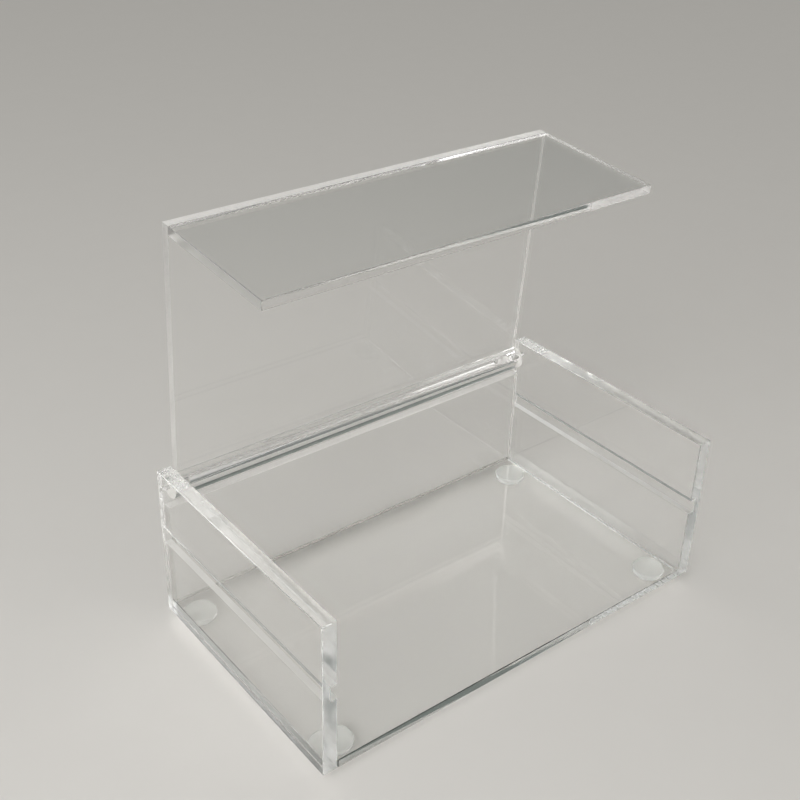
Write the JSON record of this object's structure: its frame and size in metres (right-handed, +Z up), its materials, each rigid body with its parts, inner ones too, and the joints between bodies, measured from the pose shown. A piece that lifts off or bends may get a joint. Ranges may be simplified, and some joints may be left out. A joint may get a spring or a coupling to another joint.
{
  "type": "hinged acrylic box",
  "caption": "Clear acrylic box with an open front, shelf grooves in its sides and a lid with a front flap that turns on a round hinge rod.",
  "frame": {"origin": "on the surface the box stands on, under the middle of its width and of its depth over the hinge rod", "axes": "+Z up; +Y from the open front to the hinge; +X to the right of someone facing the open front"},
  "size_m": [0.156, 0.0919, 0.1415],
  "materials": {
    "clear_acrylic": "polished faces, sawn edges",
    "clear_bumper": "smooth moulded",
    "stainless_pin": "drawn wire"
  },
  "bodies": {
    "box": {"base_plate": "clear_acrylic", "back_panel": "clear_acrylic", "left_side_panel": "clear_acrylic", "right_side_panel": "clear_acrylic", "left_hinge_pin": "stainless_pin", "right_hinge_pin": "stainless_pin", "front_left_foot": "clear_bumper", "front_right_foot": "clear_bumper", "rear_left_foot": "clear_bumper", "rear_right_foot": "clear_bumper"},
    "lid": {"lid_panel": "clear_acrylic", "lid_front_flap": "clear_acrylic", "hinge_rod": "clear_acrylic"}
  },
  "joints": [
    {"name": "lid_hinge", "type": "hinge", "parent": "box", "child": "lid", "pos_m": [0, 0.0419, 0.0525], "axis": [-1, 0, 0], "range_deg": [-84.9, 127]}
  ]
}
